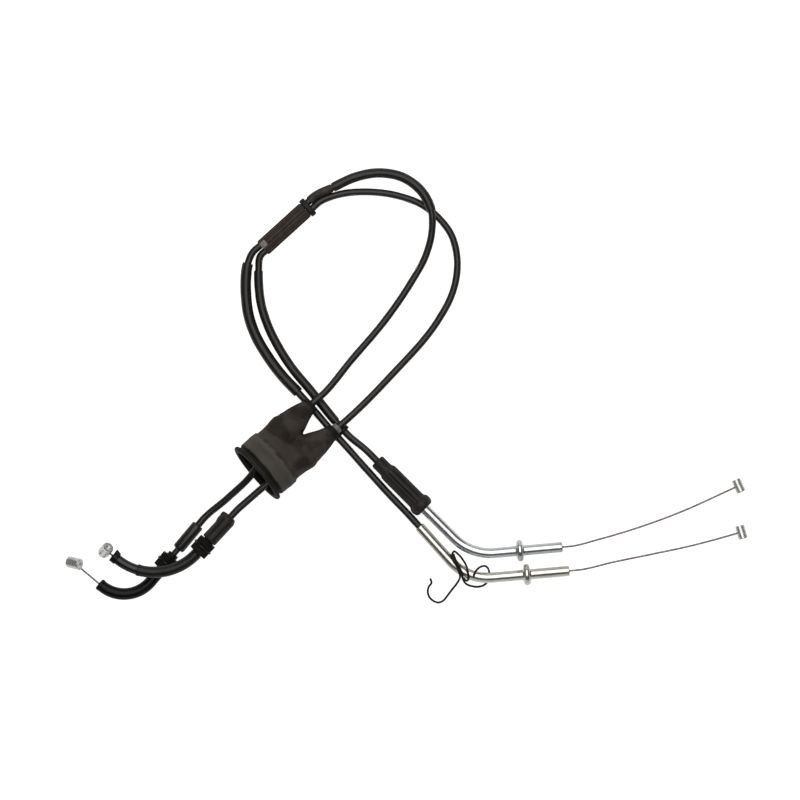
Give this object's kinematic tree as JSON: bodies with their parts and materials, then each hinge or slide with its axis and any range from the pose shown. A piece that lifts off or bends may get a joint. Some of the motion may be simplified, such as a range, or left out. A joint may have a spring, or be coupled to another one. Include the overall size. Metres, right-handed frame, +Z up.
{
  "type": "motorcycle throttle cable set",
  "caption": "Push-pull throttle cables with plated guide tubes, barrel nipples, black carburettor elbows, adjusters and lock nuts, and a two-legged rubber boot.",
  "frame": {"origin": "on the surface that the cables lie on, under the middle of the box round the fittings (guide tubes, collars, adjusters, elbows, carburettor nipples and boot), cables left out", "axes": "+Z up from that surface, +X towards the twist-grip ends along the set's longest side, +Y towards the loop of cable"},
  "size_m": [0.4707, 0.3009, 0.0472],
  "materials": {
    "conduit_plastic": "satin black extruded plastic with fine longitudinal lines",
    "sleeve_rubber": "dull black heat-shrink and rubber sleeving",
    "boot_rubber": "scuffed black rubber with a dusty bloom",
    "cover_rubber": "ribbed black rubber",
    "spiral_steel": "bright spiral-wound steel",
    "liner_plastic": "natural white low-friction plastic",
    "wire_rope": "twisted stainless strands, slightly dulled",
    "die_cast": "light silver die-cast zinc",
    "zinc_plate": "bright zinc plate",
    "black_plate": "satin black finish",
    "elbow_plastic": "smooth black plastic",
    "clip_plastic": "black moulded plastic",
    "grey_band": "light grey plastic",
    "spring_wire": "dark oiled spring wire"
  },
  "bodies": {
    "cable_set": {"pull_jacket": "conduit_plastic", "return_jacket": "conduit_plastic", "pull_loop_sleeve": "sleeve_rubber", "pull_sleeve": "sleeve_rubber", "return_sleeve": "sleeve_rubber", "bundle_sleeve": "sleeve_rubber", "bundle_ring": "sleeve_rubber", "return_adjuster_cover": "cover_rubber", "pull_armour": "spiral_steel", "return_armour": "spiral_steel", "pull_liner": "liner_plastic", "return_liner": "liner_plastic", "pull_core_wire": "wire_rope", "return_core_wire": "wire_rope", "pull_guide_tube": "zinc_plate", "return_guide_tube": "zinc_plate", "pull_collar": "zinc_plate", "return_collar": "zinc_plate", "grip_adjuster_screw": "zinc_plate", "return_ferrule": "zinc_plate", "pull_elbow": "black_plate", "return_elbow": "black_plate", "pull_stem": "black_plate", "return_stem": "black_plate", "pull_washer": "black_plate", "return_washer": "black_plate", "pull_ferrule": "black_plate", "return_elbow_sleeve": "elbow_plastic", "pull_elbow_bush": "elbow_plastic", "return_elbow_bush": "elbow_plastic", "twin_clip": "clip_plastic"},
    "pull_grip_end": {"pull_grip_wire": "wire_rope", "pull_grip_nipple": "die_cast"},
    "pull_carb_end": {"pull_carb_wire": "wire_rope", "pull_carb_nipple": "die_cast"},
    "return_grip_end": {"return_grip_wire": "wire_rope", "return_grip_nipple": "die_cast"},
    "return_carb_end": {"return_carb_wire": "wire_rope", "return_carb_nipple": "die_cast"},
    "pull_front_nut": {"pull_nut_front": "black_plate"},
    "pull_rear_nut": {"pull_nut_rear": "black_plate"},
    "return_front_nut": {"return_nut_front": "black_plate"},
    "return_rear_nut": {"return_nut_rear": "black_plate"},
    "adjuster_barrel": {"grip_adjuster_barrel": "zinc_plate"},
    "adjuster_nut": {"grip_adjuster_nut": "zinc_plate"},
    "adjuster_cover": {"grip_adjuster_cover": "cover_rubber"},
    "boot": {"boot": "boot_rubber", "boot_band": "grey_band"},
    "spring_clip": {"spring_clip": "spring_wire"}
  },
  "joints": [
    {"name": "pull_wire_slide", "type": "slide", "parent": "cable_set", "child": "pull_grip_end", "axis": [0.9962, 0.0872, 0], "range_m": [-0.016, 0.014], "deforming": ["pull_grip_wire"]},
    {"name": "pull_carb_slide", "type": "slide", "parent": "cable_set", "child": "pull_carb_end", "axis": [-0.766, 0.6428, 0], "range_m": [-0.014, 0.016], "deforming": ["pull_carb_wire"]},
    {"name": "return_wire_slide", "type": "slide", "parent": "cable_set", "child": "return_grip_end", "axis": [0.9962, 0.0872, 0], "range_m": [-0.027, 0.001], "deforming": ["return_grip_wire"]},
    {"name": "return_carb_slide", "type": "slide", "parent": "cable_set", "child": "return_carb_end", "axis": [-0.788, 0.6157, 0], "range_m": [-0.001, 0.027], "deforming": ["return_carb_wire"]},
    {"name": "pull_front_nut_turn", "type": "hinge", "parent": "cable_set", "child": "pull_front_nut", "pos_m": [-0.10492, -0.04312, 0.0076], "axis": [-0.6428, -0.766, 0], "continuous": true},
    {"name": "pull_rear_nut_turn", "type": "hinge", "parent": "cable_set", "child": "pull_rear_nut", "pos_m": [-0.10492, -0.04312, 0.0076], "axis": [-0.6428, -0.766, 0], "continuous": true},
    {"name": "return_front_nut_turn", "type": "hinge", "parent": "cable_set", "child": "return_front_nut", "pos_m": [-0.07944, -0.03184, 0.0188], "axis": [-0.682, -0.7314, 0], "continuous": true},
    {"name": "return_rear_nut_turn", "type": "hinge", "parent": "cable_set", "child": "return_rear_nut", "pos_m": [-0.07944, -0.03184, 0.0188], "axis": [-0.682, -0.7314, 0], "continuous": true},
    {"name": "adjuster_barrel_turn", "type": "hinge", "parent": "cable_set", "child": "adjuster_barrel", "pos_m": [0.0625, 0.005, 0.0085], "axis": [0.7071, -0.7071, 0], "continuous": true},
    {"name": "adjuster_nut_turn", "type": "hinge", "parent": "cable_set", "child": "adjuster_nut", "pos_m": [0.05614, 0.01136, 0.0085], "axis": [0.7071, -0.7071, 0], "continuous": true},
    {"name": "cover_slide", "type": "slide", "parent": "cable_set", "child": "adjuster_cover", "axis": [-0.7071, 0.7071, 0], "range_m": [0, 0.009]},
    {"name": "boot_slide", "type": "slide", "parent": "cable_set", "child": "boot", "axis": [-0.7511, -0.6392, 0.165], "range_m": [0, 0.016]},
    {"name": "clip_swing", "type": "hinge", "parent": "cable_set", "child": "spring_clip", "pos_m": [0.1044, -0.0499, 0.007], "axis": [-0.9062, 0.4229, 0], "range_deg": [0, 25]}
  ],
  "couplings": [
    {"joint": "pull_carb_slide", "follows": "pull_wire_slide", "ratio": -1},
    {"joint": "return_carb_slide", "follows": "return_wire_slide", "ratio": -1}
  ]
}
